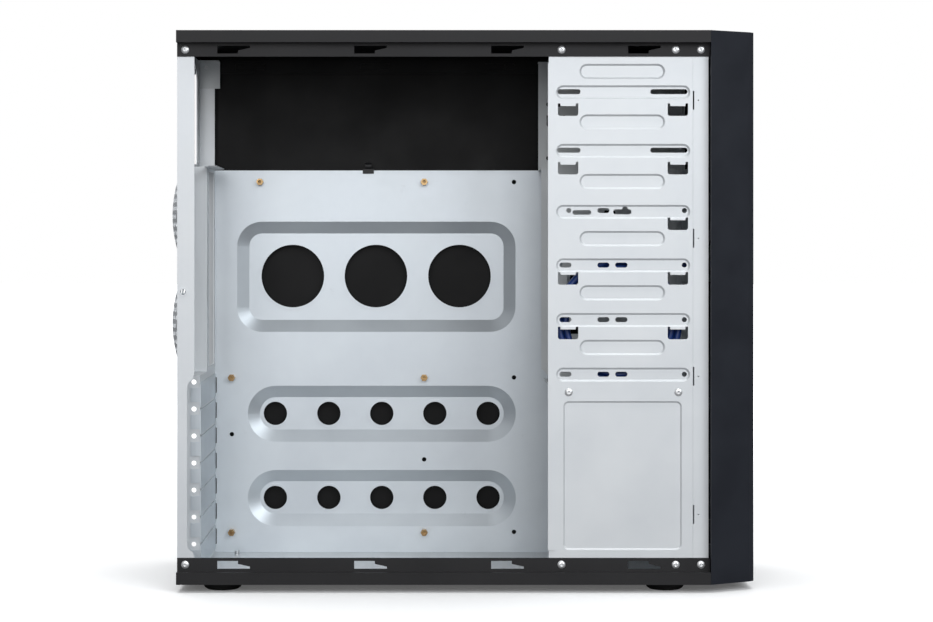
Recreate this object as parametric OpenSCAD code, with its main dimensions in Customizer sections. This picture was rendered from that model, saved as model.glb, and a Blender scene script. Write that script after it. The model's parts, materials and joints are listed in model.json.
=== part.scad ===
// Mid-tower desktop computer case with the left side panel taken off.
// +X is the front (the bezel), +Y the closed right side, +Z up.
// The origin is the bottom centre of the case, on the plane its feet stand on.

/* [Case] */
// Width over both side panels
case_w = 180; // [176:1:230]
// Length of the steel chassis, without the bezel and the fan domes
chassis_l = 392; // [385:1:480]
// Height of the body, without the feet
body_h = 406.4; // [400:1:500]
// Diameter of a foot
foot_d = 29; // [20:1:36]
// Height of a foot
foot_h = 6; // [4:0.5:12]

/* [Sheet metal] */
// Thickness of the steel sheet
sheet_t = 0.8; // [0.6:0.1:1]
// How far the side panels stand out from the chassis
panel_out = 8; // [7:0.5:12]
// Height of the outer band of the top and bottom covers
band_h = 8.8; // [7:0.2:12]
// Height of the recessed lip that takes the panel hooks
lip_h = 10; // [9:0.5:14]
// Length of a hook slot, without its narrow tail
hook_slot_l = 15.2; // [13:0.2:18]
// Length of the narrow tail of a hook slot
hook_tail_l = 8.8; // [8:0.2:10]
// Diameter of a rivet head
rivet_d = 6; // [4:0.5:7]

/* [Motherboard tray] */
// Thickness of the tray sheet
tray_t = 1; // [0.8:0.1:1.4]
// Depth of the pressed recesses
recess_depth = 5; // [3:0.5:6]
// Width of the sloped wall round a recess
recess_slope = 9.5; // [6:0.5:11]
// Diameter of the three large cable holes
large_hole_d = 50.6; // [40:0.2:54]
// Diameter of the small cable holes
small_hole_d = 18.9; // [14:0.1:20]
// Height of the brass standoffs
standoff_h = 6.5; // [5:0.5:10]
// Width of a standoff across its flats
standoff_af = 5; // [4.5:0.1:6]

/* [Rear panel] */
// Width of the flanges along the rear posts
post_flange = 12.7; // [11:0.1:16]
// How far the slot and connector area is set forward
recess_set = 12.4; // [10:0.2:13]
// Diameter of a fan opening
fan_open_d = 75; // [70:1:78]
// Spacing of the fan screws
fan_pitch = 71.5; // [68:0.5:76]
// Height of the domed fan grilles
dome_h = 8; // [4:0.5:10]
// Diameter of one grille hole
grille_hole_d = 5; // [4:0.2:5.4]
// Number of expansion slots
slot_count = 7; // [7:1:7]
// Distance from one expansion slot to the next
slot_pitch = 20.32; // [19:0.01:21]

/* [Drive cage] */
// Length of the drive cage
cage_l = 106; // [104:1:112]
// Inside width of the upper bays, for five-inch drives
wide_bay_w = 149.6; // [148:0.1:152]
// Inside width of the lower bays, for three-inch drives
narrow_bay_w = 103.8; // [102:0.1:108]
// Depth of the pressed ribs
rib_depth = 1.2; // [0.8:0.1:1.6]

/* [Bezel] */
// Depth of the bezel
bezel_d = 34; // [30:1:44]
// Width of the flat front of the bezel
bezel_front_w = 142; // [140:1:160]
// Thickness of the bezel wall
bezel_t = 2.5; // [2:0.1:3]
// Size of the chamfer along the bezel's upright front edges
bezel_chamfer = 3.7; // [1:0.1:4]
// Gap round a bay cover or a button
seam = 0.35; // [0.3:0.05:0.6]
// Visible width of the bay covers
cover_w = 134; // [120:1:136]
// How far a button travels
button_travel = 2; // [1:0.1:2.5]
// Diameter of the power button
power_d = 18; // [12:0.5:19]
// Diameter of the reset button
reset_d = 7; // [5:0.5:8]

/* [Front cable] */
// Diameter of the front panel cable
cable_d = 5; // [4:0.5:6]
// Radius of the coil, at the middle of its turns
coil_r = 42; // [38:1:44]

/* [Hidden] */

$fn = 48;
eps = 0.1; // overrun of a cut
touch = 0.1; // gap between neighbouring sheets
fit_gap = 0.15; // radial clearance of a screw in its hole

// overall places
half_w = case_w / 2;
z_bottom = foot_h;
z_top = foot_h + body_h;
button_proud = 1;
total_l = dome_h + chassis_l + bezel_d + button_proud;
rear_x = dome_h - total_l / 2;
post_y = half_w - panel_out; // outer face of the posts and flanges
lip_y = post_y + sheet_t; // outer face of the lips
floor_z = z_bottom + sheet_t;
floor_top = floor_z + sheet_t;
inner_top = z_top - band_h - touch; // top of the panels inside the top cover

// hook slots of the lips
hook_first = 29.6;
hook_last = chassis_l - 60.2;
hook_count = 4;
hook_step = (hook_last - hook_first) / (hook_count - 1);
hook_slot_h = 5.8;
hook_tail_h = 1.6;
hook_top = z_top - band_h - 2;
rivet_z = z_top - band_h - 5;
rivet_hole_r = 1.6;
rivet_x = [6, chassis_l - 109.2, chassis_l - 25.2, chassis_l - 6.6];
far_rivet_x = [rivet_x[0], rivet_x[3]];

// motherboard tray, hole places of an ATX board
tray_y = post_y - recess_depth - tray_t; // face that the standoffs stand on
tray_x0 = recess_set + sheet_t + touch;
tray_top = z_bottom + 309.2;
board_x = [27, 181.94, 254.33];
board_z = [z_bottom + 18, z_bottom + 142.46, z_bottom + 299.94];
board_x_top = 49.86;
standoff_at = [
    [board_x_top, board_z[2]], [board_x[1], board_z[2]],
    [board_x[0], board_z[1]], [board_x[1], board_z[1]],
    [board_x[0], board_z[0]], [board_x[1], board_z[0]]
];
plain_hole_at = [
    [board_x[2], board_z[0]], [board_x[2], board_z[1]], [board_x[2], board_z[2]],
    [board_x[0], board_z[0] + 78.74], [board_x[1], board_z[0] + 58.42]
];
plain_hole_r = 1.8;
stud_r = 1.5;
large_recess = [143.4, z_bottom + 223.6, 224.3, 88.8, 20]; // x, z, length, height, corner radius
large_hole_x = [75.9, 143, 210.5];
small_recess_l = 216;
small_recess_h = 45.2;
small_recess_x = 147.8;
small_recess_z = [z_bottom + 113.2, z_bottom + 45.3];
small_hole_x = [61.8, 105, 147.7, 190.6, 233.6];
rim_w = 2;
rim_h = 0.7;

// rear panel
io_z0 = z_bottom + 150; // lower edge of the connector area
io_z1 = tray_top;
tub_y1 = post_y - sheet_t - touch; // end of the slot and connector area at the far post
slot_area_y = tray_y - 121;
io_area_y = tray_y - 64;
slot_area_z0 = floor_top + touch + sheet_t;
slot_z = z_bottom + 136.4; // middle of the first slot
leaf_h = 18.4;
leaf_t = 0.8;
slot_open_h = 13;
io_open = [158.75, 44.45]; // connector opening, height and width
io_open_z0 = io_z0 + 4;
io_open_y1 = tray_y - 5.8;
fan_y = -post_y + 47;
fan_z = [io_z1 - 38.2, io_z1 - 119.4];
fan_screw_r = 2.2;
psu_open_y = [-59, 60];
psu_hole_r = 2;
psu_pair_y = 69;
psu_low_z = io_z1 + 6.8;
psu_open_z = [psu_low_z - 3, psu_low_z + 73];
grille_pitch = 7;
ledge_l = 22.5; // ledge under the power supply
ledge_y = [-15, 62];

// drive cage
cage_front = chassis_l - post_flange + 0.2;
cage_x0 = cage_front - cage_l;
cage_y0 = -post_y + sheet_t; // inside of the near plate
wide_y = cage_y0 + wide_bay_w;
narrow_y = cage_y0 + narrow_bay_w;
bay_pitch_wide = 43.1;
bay_pitch_narrow = 40.2;
wide_rest_z = [z_top - 54.4, z_top - 54.4 - bay_pitch_wide]; // undersides of the wide drives
narrow_rest_z = [for (i = [0:3]) z_top - 138.4 - i * bay_pitch_narrow];
step_z = wide_rest_z[1];
shelf_z = narrow_rest_z[3] - 2.8; // top of the cage shelf
wide_hole_up = 9.9; // screw line above the underside of a drive
narrow_hole_up = 6.4;
cage_slot_r = 1.85;
tab_w = 15;
tab_h = 8;
tab_in = 5;

// bezel and its fittings, measured from the rear of the chassis
bezel_x0 = chassis_l;
bezel_x1 = chassis_l + bezel_d;
cover_t = 3;
wide_cover_h = 41.4;
narrow_cover_h = 26;
cover_z = [wide_rest_z[0] + 20.7, wide_rest_z[1] + 20.7, narrow_rest_z[0] + 13];
cover_h = [wide_cover_h, wide_cover_h, narrow_cover_h];
cover_r = 1.5;
board_t = 1.6;
io_x = bezel_x1 - 20.4; // front face of the port board
coil_w = 15; // width of the coil
coil_h = 11; // height of the bundle of turns
coil_x = cage_x0 + cage_l / 2 - 0.4;
coil_z = shelf_z + coil_r + coil_h / 2 + 0.6;
board_y = [-bezel_front_w / 2 - 3, bezel_front_w / 2 - 3]; // ends of the port board
// the cable leaves the board near its end, in line with the coil, which clears the drive rests
coil_y = max(board_y[0] + 6.5, cage_y0 + tab_in + 1.2 + coil_w / 2);
io_z = coil_z + coil_r; // height of the ports and of the cable lead
usb_y = [-48, -28];
audio_y = [-11, 3];
led_y = [17, 23];
power_y = 40;
reset_y = 57;
post_at = [for (y = [board_y[0] + 12, board_y[1] - 5], z = [-10, 10]) [y, z]];
board_half_h = 14;
vent_count = 12;
vent_pitch = 10;
vent_z0 = z_bottom + 40;
vent_w = 104;
vent_h = 4;
clip_z = [z_bottom + 24, z_bottom + 132, z_bottom + 256];
clip_y = post_y - 6.5;
bezel_side = (half_w - bezel_front_w / 2) / bezel_d; // slope of the bezel's sides
// where a clip runs into the side wall, or into the front wall if that comes first
clip_x1 = min(bezel_x0 + (half_w - clip_y - 1.8) / bezel_side, bezel_x1 - bezel_t / 2);

// side panel
panel_gap = 0.6; // between the panel and the bands
panel_z0 = z_bottom + band_h + panel_gap;
panel_z1 = z_top - band_h - panel_gap;
panel_x1 = chassis_l - 0.6;
panel_x0 = 0.2;
hem_y = lip_y + 0.4; // inner face of the panel's return
lock_x = 4.4; // thumbscrew of a side panel
lock_z = z_top - 192;
screw_r = 1.7;
pocket_x1 = 26; // pocket round the thumbscrew
pocket_h = 26;
slide_l = 12.5; // how far the panel slides to free its hooks
fold_y = lip_y + 1.7; // clears the rivet heads

// cable route: points on the lead, from the port board to the top of the coil
lead_points = [for (p = [[0, 0], [-8, -0.2], [-18, -0.6], [-28, -1.4], [-38, -2], [-48, -1.8], [-58, -0.8], [-66, 0]])
    [io_x - board_t - 8 + p[0], coil_y, io_z + p[1]]];
tail_start = [coil_x, coil_y + coil_w / 2 - 3, coil_z - coil_r];
tail_steps = [[0, 0, 0], [6, 0.5, -0.6], [12, 3, -1.6], [17, 8, -2.6], [20, 15, -2.9], [20, 22, -2.9], [20, 30, -2.9]];
tail_points = [for (p = tail_steps) tail_start + p];

// ---- helpers ----

// A flat shape drawn in X and Z, made solid from y0 to y0 + t
module along_y(y0, t) {
    translate([0, y0 + t, 0]) rotate([90, 0, 0]) linear_extrude(t) children();
}

// A flat shape drawn in Y and Z, made solid from x0 to x0 + t
module along_x(x0, t) {
    translate([x0, 0, 0]) rotate([90, 0, 90]) linear_extrude(t) children();
}

// Box from its two opposite corners
module block(a, b) {
    translate(a) cube(b - a);
}

module rounded_rect(x0, y0, x1, y1, r) {
    translate([x0 + r, y0]) square([x1 - x0 - 2 * r, y1 - y0]);
    translate([x0, y0 + r]) square([x1 - x0, y1 - y0 - 2 * r]);
    for (x = [x0 + r, x1 - r], y = [y0 + r, y1 - r]) translate([x, y]) circle(r);
}

// Slot with round ends, lying along X, between its outer ends
module slot_2d(x0, x1, z, r) {
    translate([x0 + r, z - r]) square([x1 - x0 - 2 * r, 2 * r]);
    for (x = [x0 + r, x1 - r]) translate([x, z]) circle(r);
}

module hole_y(x, z, r) {
    translate([x, post_y + 20, z]) rotate([90, 0, 0]) cylinder(h = 2 * post_y + 40, r = r);
}

module hole_x(x0, x1, y, z, r) {
    translate([x0, y, z]) rotate([0, 90, 0]) cylinder(h = x1 - x0, r = r);
}

// Pressed form with sloped walls: full size at y0, smaller by the slope at y0 + depth
module pressed_form(x, z, l, h, r, slope, depth, y0) {
    translate([x, y0 + depth, z]) rotate([90, 0, 0]) {
        for (i = [-1, 1], j = [-1, 1])
            translate([i * (l / 2 - r), j * (h / 2 - r), 0]) cylinder(h = depth, r1 = r - slope, r2 = r);
        rotate([90, 0, 90]) linear_extrude(l - 2 * r, center = true)
            polygon([[slope - h / 2, 0], [h / 2 - slope, 0], [h / 2, depth], [-h / 2, depth]]);
        if (h > 2 * r + eps)
            rotate([90, 0, 0]) linear_extrude(h - 2 * r, center = true)
                polygon([[slope - l / 2, 0], [l / 2 - slope, 0], [l / 2, depth], [-l / 2, depth]]);
    }
}

// The hollow of a pressed form, cut a little past the sheet's face
module pressed_hollow(x, z, l, h, r, slope, depth, y0) {
    k = (depth + eps) / depth;
    grow = slope * (k - 1);
    pressed_form(x, z, l + 2 * grow, h + 2 * grow, r + grow, slope * k, depth * k, y0 - eps);
}

// Puts a part's own origin at the rear face of the chassis
module in_case() {
    translate([rear_x, 0, 0]) children();
}

module pop_rivet(x, y, z, side) {
    // side is -1 where the head faces -Y and 1 where it faces +Y
    head = 1.2;
    body = 3;
    translate([x, y, z]) rotate([side < 0 ? 90 : -90, 0, 0]) difference() {
        union() {
            cylinder(h = 0.5, d = rivet_d);
            translate([0, 0, 0.5]) cylinder(h = head - 0.5, d1 = rivet_d, d2 = rivet_d * 0.6);
            translate([0, 0, -body]) cylinder(h = body, r = rivet_hole_r - 0.05);
        }
        translate([0, 0, head - 1]) cylinder(h = 1 + eps, r = 0.8);
    }
}

// ---- covers ----

// Hook slot with its narrow tail, drawn in X and Z
module hook_slot(x, grow) {
    translate([x - grow, hook_top - hook_slot_h - grow]) square([hook_slot_l + 2 * grow, hook_slot_h + 2 * grow]);
    polygon([
        [x + hook_slot_l - eps, hook_top - hook_slot_h * 0.62 - grow],
        [x + hook_slot_l + hook_tail_l + grow, hook_top - hook_tail_h - grow],
        [x + hook_slot_l + hook_tail_l + grow, hook_top + grow],
        [x + hook_slot_l - eps, hook_top + grow]
    ]);
}

module hook_slots(grow = 0) {
    for (i = [0 : hook_count - 1]) hook_slot(hook_first + i * hook_step, grow);
}

module upside_down() {
    translate([0, 0, z_top + z_bottom]) mirror([0, 0, 1]) children();
}

module cover_sheet() {
    zb = z_top - band_h;
    half = [
        [half_w, z_top], [half_w, zb], [lip_y, zb], [lip_y, zb - lip_h], [post_y, zb - lip_h],
        [post_y, zb + sheet_t], [half_w - sheet_t, zb + sheet_t], [half_w - sheet_t, z_top - sheet_t]
    ];
    n = len(half);
    difference() {
        union() {
            along_x(0, chassis_l - touch)
                polygon([for (p = half) p, for (i = [0 : n - 1]) [-half[n - 1 - i][0], half[n - 1 - i][1]]]);
            for (x = [0, chassis_l - touch - sheet_t])
                block([x, -half_w, zb], [x + sheet_t, half_w, z_top]);
        }
        along_y(-half_w, case_w) hook_slots();
        for (x = rivet_x) translate([x, -post_y + 2, rivet_z]) rotate([90, 0, 0]) cylinder(h = 4, r = rivet_hole_r);
        for (x = far_rivet_x) translate([x, lip_y + 2, rivet_z]) rotate([90, 0, 0]) cylinder(h = 4, r = rivet_hole_r);
    }
}

module top_cover() {
    color([0.16, 0.16, 0.165]) in_case() cover_sheet();
}

foot_x = [32.2, chassis_l - 31.4];
foot_y = half_w - 25;
foot_bore_r = 2.1;

module bottom_cover() {
    color([0.16, 0.16, 0.165]) in_case() difference() {
        upside_down() cover_sheet();
        // the rear panel reaches down to the floor between the lips
        block([-eps, -post_y, floor_z], [sheet_t + eps, post_y, z_bottom + band_h + eps]);
        for (x = foot_x, y = [-foot_y, foot_y])
            translate([x, y, z_bottom - eps]) cylinder(h = 3, r = foot_bore_r);
    }
}

module floor_plate() {
    color([0.72, 0.75, 0.78]) in_case() difference() {
        block([sheet_t + touch, touch - post_y + sheet_t, floor_z],
              [chassis_l - 2 * sheet_t - 2 * touch, post_y - sheet_t - touch, floor_top]);
        for (x = foot_x, y = [-foot_y, foot_y])
            translate([x, y, floor_z - eps]) cylinder(h = 3, r = foot_bore_r);
    }
}

// ---- rear panel ----

module slot_area_2d(grow, y1) {
    polygon([
        [slot_area_y - grow, slot_area_z0 - grow], [y1, slot_area_z0 - grow], [y1, io_z1 + grow],
        [io_area_y - grow, io_z1 + grow], [io_area_y - grow, io_z0 + grow], [slot_area_y - grow, io_z0 + grow]
    ]);
}

module psu_opening_2d() {
    difference() {
        rounded_rect(psu_open_y[0], psu_open_z[0], psu_open_y[1], psu_open_z[1], 9);
        for (p = psu_holes) translate(p) circle(6);
    }
}

psu_holes = [
    [-psu_pair_y, psu_low_z], [psu_pair_y, psu_low_z],
    [-psu_pair_y, psu_low_z + 64], [psu_pair_y - 24, psu_low_z + 74]
];

module dome(z) {
    ball_r = (pow(fan_open_d / 2, 2) + pow(dome_h, 2)) / (2 * dome_h);
    rows = floor(fan_open_d / 2 / grille_pitch / 0.866);
    difference() {
        intersection() {
            translate([ball_r - dome_h, fan_y, z]) difference() {
                sphere(ball_r, $fn = 96);
                sphere(ball_r - sheet_t, $fn = 96);
            }
            hole_x(-dome_h - 1, sheet_t, fan_y, z, fan_open_d / 2 + 1);
        }
        for (j = [-rows : rows], i = [-6 : 6]) {
            y = (i + (j % 2 == 0 ? 0 : 0.5)) * grille_pitch;
            up = j * grille_pitch * 0.866;
            if (norm([y, up]) < fan_open_d / 2 - grille_hole_d / 2 - 2)
                hole_x(-dome_h - 1, 2, fan_y + y, z + up, grille_hole_d / 2);
        }
    }
}

module near_post_2d() {
    z0 = floor_top + touch;
    narrow = 7.3; // width of the post beside the slots
    low = z_bottom + 19;
    high = z_bottom + 144;
    polygon([
        [0, z0], [post_flange, z0], [post_flange, low], [post_flange - 1.2, low + 4],
        [narrow + 1.2, low + 5.5], [narrow, low + 9], [narrow, high], [narrow + 1.2, high + 4],
        [post_flange - 1.2, high + 6], [post_flange, high + 11], [post_flange, inner_top], [0, inner_top]
    ]);
}

module rear_panel() {
    color([0.80, 0.82, 0.83]) in_case() {
        difference() {
            union() {
                along_x(0, sheet_t) translate([-post_y, floor_top + touch])
                    square([2 * post_y, inner_top - floor_top - touch]);
                along_y(-post_y, sheet_t) near_post_2d();
                block([0, post_y - sheet_t, floor_top + touch], [post_flange, post_y, inner_top]);
                translate([lock_x, -post_y, lock_z]) rotate([90, 0, 0]) cylinder(h = 0.5, r = 3.1);
            }
            along_x(-eps, sheet_t + 2 * eps) {
                slot_area_2d(sheet_t + touch, post_y - sheet_t);
                psu_opening_2d();
            }
            for (p = psu_holes) hole_x(-1, 2, p[0], p[1], psu_hole_r);
            for (z = fan_z) {
                hole_x(-1, 2, fan_y, z, fan_open_d / 2);
                for (i = [-1, 1], j = [-1, 1])
                    hole_x(-1, 2, fan_y + i * fan_pitch / 2, z + j * fan_pitch / 2, fan_screw_r);
            }
            translate([lock_x, -post_y + 2, lock_z]) rotate([90, 0, 0]) cylinder(h = 4, r = 2.2);
            translate([lock_x, post_y + 2, lock_z]) rotate([90, 0, 0]) cylinder(h = 4, r = screw_r + fit_gap);
            for (s = [0, 1]) mirror([0, s, 0]) {
                translate([rivet_x[0], -post_y + 2, rivet_z]) rotate([90, 0, 0]) cylinder(h = 4, r = rivet_hole_r);
                translate([rivet_x[0], -post_y + 2, z_top + z_bottom - rivet_z]) rotate([90, 0, 0])
                    cylinder(h = 4, r = rivet_hole_r);
            }
        }
        difference() {
            for (z = fan_z) dome(z);
            along_x(-eps / 10, sheet_t + eps) slot_area_2d(sheet_t + touch, post_y - sheet_t);
        }
    }
}

// Tub that sets the slots and the connector opening forward of the rear panel
module slot_tub() {
    color([0.80, 0.82, 0.83]) in_case() difference() {
        union() {
            along_x(0, recess_set + sheet_t) difference() {
                slot_area_2d(sheet_t, tub_y1);
                slot_area_2d(0, tub_y1 + eps);
            }
            along_x(recess_set, sheet_t) slot_area_2d(eps / 2, tub_y1);
            // ledge under the power supply
            translate([0, 0, io_z1]) linear_extrude(sheet_t) polygon([
                [recess_set, ledge_y[0]], [ledge_l - 6, ledge_y[0]], [ledge_l, ledge_y[0] + 6],
                [ledge_l, ledge_y[1] - 6], [ledge_l - 6, ledge_y[1]], [recess_set, ledge_y[1]]
            ]);
        }
        // connector opening and the seven slots
        along_x(recess_set - eps, sheet_t + 2 * eps) {
            translate([io_open_y1 - io_open[1], io_open_z0]) square([io_open[1], io_open[0] - 6]);
            for (i = [0 : slot_count - 1])
                translate([slot_area_y + 8, slot_z - i * slot_pitch - slot_open_h / 2])
                    square([tray_y - slot_area_y - 12, slot_open_h]);
        }
        // screw holes in the wall beside the slots
        for (i = [0 : slot_count - 1])
            translate([8.7, slot_area_y + 1, slot_z + 9.6 - i * slot_pitch]) rotate([90, 0, 0])
                cylinder(h = 3, r = 1.8);
    }
}

// Removable cover of one expansion slot, n counted from the top
module slot_cover(n) {
    z = slot_z - n * slot_pitch;
    x = recess_set + sheet_t;
    shelf_face = slot_area_y - sheet_t;
    color([0.66, 0.70, 0.74]) in_case() {
        block([x, shelf_face - leaf_t, z - leaf_h / 2], [x + leaf_t, tray_y - 0.4, z + leaf_h / 2]);
        block([x, tray_y - 0.5, z - 5.6], [x + leaf_t, tray_y + tray_t + 1.5, z + 5.6]);
        difference() {
            block([6.3, shelf_face - leaf_t, z - 5.4], [x + eps, shelf_face, z + 5.4]);
            // rounded notch that clears the fixing screw
            translate([8.7, shelf_face + 1, z + 9.6]) rotate([90, 0, 0]) cylinder(h = 4, r = 4.6);
        }
    }
}

module slot_cover_1() slot_cover(0);
module slot_cover_2() slot_cover(1);
module slot_cover_3() slot_cover(2);
module slot_cover_4() slot_cover(3);
module slot_cover_5() slot_cover(4);
module slot_cover_6() slot_cover(5);
module slot_cover_7() slot_cover(6);

module corner_bracket() {
    y1 = post_y - sheet_t;
    color([0.78, 0.79, 0.78]) in_case() difference() {
        union() {
            block([sheet_t + touch, y1 - sheet_t, inner_top - 22], [17, y1, inner_top]);
            block([sheet_t + touch, y1 - 12, inner_top - sheet_t], [17, y1, inner_top]);
        }
        translate([rivet_x[0], y1 + 1, rivet_z]) rotate([90, 0, 0]) cylinder(h = 4, r = rivet_hole_r);
    }
}

// ---- motherboard tray ----

tray_x1 = cage_x0 + 26;

module tray_recess(x, z, l, h, r, hollow) {
    if (hollow) pressed_hollow(x, z, l, h, r, recess_slope, recess_depth, tray_y);
    else pressed_form(x, z, l, h, r, recess_slope, recess_depth, tray_y + tray_t);
}

module tray_recesses(hollow) {
    tray_recess(large_recess[0], large_recess[1], large_recess[2], large_recess[3], large_recess[4], hollow);
    for (z = small_recess_z)
        tray_recess(small_recess_x, z, small_recess_l, small_recess_h, small_recess_h / 2 - 0.05, hollow);
}

// A raised ring round a cable hole in the floor of a recess
module hole_rim(x, z, r) {
    translate([x, tray_y + recess_depth + tray_t / 2, z]) rotate([90, 0, 0])
        cylinder(h = tray_t / 2 + rim_h, r = r + rim_w);
}

module motherboard_tray() {
    color([0.75, 0.78, 0.81]) in_case() difference() {
        union() {
            difference() {
                union() {
                    block([tray_x0, tray_y, floor_top + touch], [tray_x1, tray_y + tray_t, tray_top]);
                    tray_recesses(false);
                    // folds along the front edge and the top edge
                    block([tray_x1 - tray_t, tray_y, floor_top + touch], [tray_x1, post_y - sheet_t - touch, tray_top]);
                    block([tray_x0 + 16, tray_y, tray_top - tray_t],
                          [tray_x1, post_y - sheet_t - touch, tray_top]);
                }
                tray_recesses(true);
            }
            for (x = large_hole_x) hole_rim(x, large_recess[1] + 0.5, large_hole_d / 2);
            for (x = small_hole_x, z = small_recess_z) hole_rim(x, z, small_hole_d / 2);
        }
        for (x = large_hole_x) hole_y(x, large_recess[1] + 0.5, large_hole_d / 2);
        for (x = small_hole_x, z = small_recess_z) hole_y(x, z, small_hole_d / 2);
        for (p = standoff_at) hole_y(p[0], p[1], stud_r + fit_gap);
        for (p = plain_hole_at) hole_y(p[0], p[1], plain_hole_r);
        // notches for the tongues of the slot covers
        for (i = [0 : slot_count - 1])
            block([tray_x0 - 1, tray_y - 1, slot_z - i * slot_pitch - 6.2],
                  [tray_x0 + 1.5, tray_y + tray_t + 1, slot_z - i * slot_pitch + 6.2]);
    }
}

module standoffs() {
    color([0.70, 0.55, 0.30]) in_case() for (p = standoff_at) {
        difference() {
            translate([p[0], tray_y, p[1]]) rotate([90, 0, 0]) union() {
                cylinder(h = standoff_h - 0.6, d = standoff_af / cos(30), $fn = 6);
                cylinder(h = standoff_h, d = standoff_af);
            }
            translate([p[0], tray_y - 1, p[1]]) rotate([90, 0, 0]) cylinder(h = standoff_h, r = 1.4);
        }
        translate([p[0], tray_y + tray_t + 2.5, p[1]]) rotate([90, 0, 0])
            cylinder(h = tray_t + 2.5 + 0.5, r = stud_r);
    }
}

// Small plastic clip that holds cables, pushed onto the top edge of the tray
module cable_clip() {
    x = board_x[1] - 45;
    loop_r = 2.8;
    loop_y = tray_y + loop_r;
    color([0.10, 0.10, 0.11]) in_case() {
        block([x - 4.5, tray_y - 0.9, tray_top], [x + 4.5, tray_y + 4.6, tray_top + 1.2]);
        block([x - 4.5, tray_y - 0.9, tray_top - 2.6], [x + 4.5, tray_y, tray_top + 0.4]);
        difference() {
            translate([x + 2.5, loop_y, tray_top + loop_r + 0.8]) rotate([0, -90, 0]) cylinder(h = 5, r = loop_r);
            translate([x + 5, loop_y, tray_top + loop_r + 1]) rotate([0, -90, 0]) cylinder(h = 10, r = loop_r - 1.1);
        }
    }
}

// ---- drive cage ----

// One pressed rib between its ends, and its hollow
module rib(x0, x1, z, h, hollow) {
    slope = 1.4;
    if (hollow) pressed_hollow((x0 + x1) / 2, z, x1 - x0, h, h / 2 - 0.05, slope, rib_depth, -post_y);
    else pressed_form((x0 + x1) / 2, z, x1 - x0, h, h / 2 - 0.05, slope, rib_depth, -post_y + sheet_t);
}

rib_x = [cage_x0 + 5.4, cage_front - 1.9];
bump_x = [cage_x0 + 22.6, cage_front - 20.4];
rib_up = [wide_rest_z[0] + 9.4, wide_rest_z[1] + 9.4, narrow_rest_z[0] + 5.4,
    narrow_rest_z[1] + 6.2, narrow_rest_z[2] + 6.2, narrow_rest_z[3] + 6.2];
bump_up = [wide_rest_z[0] + 24.7, wide_rest_z[0] - 12.5, wide_rest_z[1] - 13.2,
    narrow_rest_z[0] - 14.3, narrow_rest_z[1] - 14, narrow_rest_z[2] - 14];
rib_hgt = 10.2;
bump_hgt = 11.2;
blank = [cage_x0 + 54.3, (shelf_z + z_bottom) / 2 + 7, 87.2, 109.5]; // big pressed panel: x, z, length, height

module cage_presses(hollow) {
    for (z = rib_up) rib(rib_x[0], rib_x[1], z, rib_hgt, hollow);
    for (z = bump_up) rib(bump_x[0], bump_x[1], z, bump_hgt, hollow);
    if (hollow) pressed_hollow(blank[0], blank[1], blank[2], blank[3], 4, 1.2, 0.9, -post_y);
    else pressed_form(blank[0], blank[1], blank[2], blank[3], 4, 1.2, 0.9, -post_y + sheet_t);
}

// Screw slots of the bays, drawn in X and Z from the cage's rear edge
module bay_slots_2d() {
    for (z = wide_rest_z) {
        slot_2d(cage_x0 + 6.4, cage_x0 + 23.4, z + wide_hole_up, cage_slot_r);
        slot_2d(cage_x0 + 74.8, cage_x0 + 102.2, z + wide_hole_up, cage_slot_r);
    }
    for (i = [1 : 3]) {
        slot_2d(cage_x0 + 7.9, cage_x0 + 16.7, narrow_rest_z[i] + narrow_hole_up, cage_slot_r);
        slot_2d(cage_x0 + 35.9, cage_x0 + 44.7, narrow_rest_z[i] + narrow_hole_up, cage_slot_r);
        slot_2d(cage_x0 + 49, cage_x0 + 58, narrow_rest_z[i] + narrow_hole_up, cage_slot_r);
        translate([cage_x0 + 99.9, narrow_rest_z[i] + narrow_hole_up]) circle(cage_slot_r);
    }
    z = narrow_rest_z[0] + narrow_hole_up;
    translate([cage_x0 + 14.8, z]) circle(cage_slot_r);
    slot_2d(cage_x0 + 17.5, cage_x0 + 31.3, z - 1.4, 1.7);
    slot_2d(cage_x0 + 35.9, cage_x0 + 44.7, z, cage_slot_r);
    slot_2d(cage_x0 + 47.5, cage_x0 + 61, z - 1, cage_slot_r);
    translate([cage_x0 + 56.2, z + 0.8]) circle(2.2);
    translate([cage_x0 + 100, z]) circle(cage_slot_r);
}

// One cut-out whose metal is bent in as a drive rest; x is its rear edge
module rest_cut_2d(x, z) {
    rounded_rect(x, z - tab_h, x + tab_w, z - 1.4, 1.8);
    translate([x, z - 3]) square([tab_w, 3]);
    for (ear = [x, x + tab_w - 1.8]) translate([ear, z - 2]) square([1.8, 3.2]);
}

rest_at = [
    for (z = wide_rest_z, x = [cage_x0 + 6.7, cage_x0 + 87.5]) [x, z],
    [cage_x0 + 87.5, narrow_rest_z[0]],
    for (i = [1, 2], x = [cage_x0 + 6.7, cage_x0 + 87.5]) [x, narrow_rest_z[i]]
];

cage_top = inner_top - 1.4;
slit_z = [for (i = [0 : 3]) z_top - 50.9 - i * 101.6];

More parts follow.
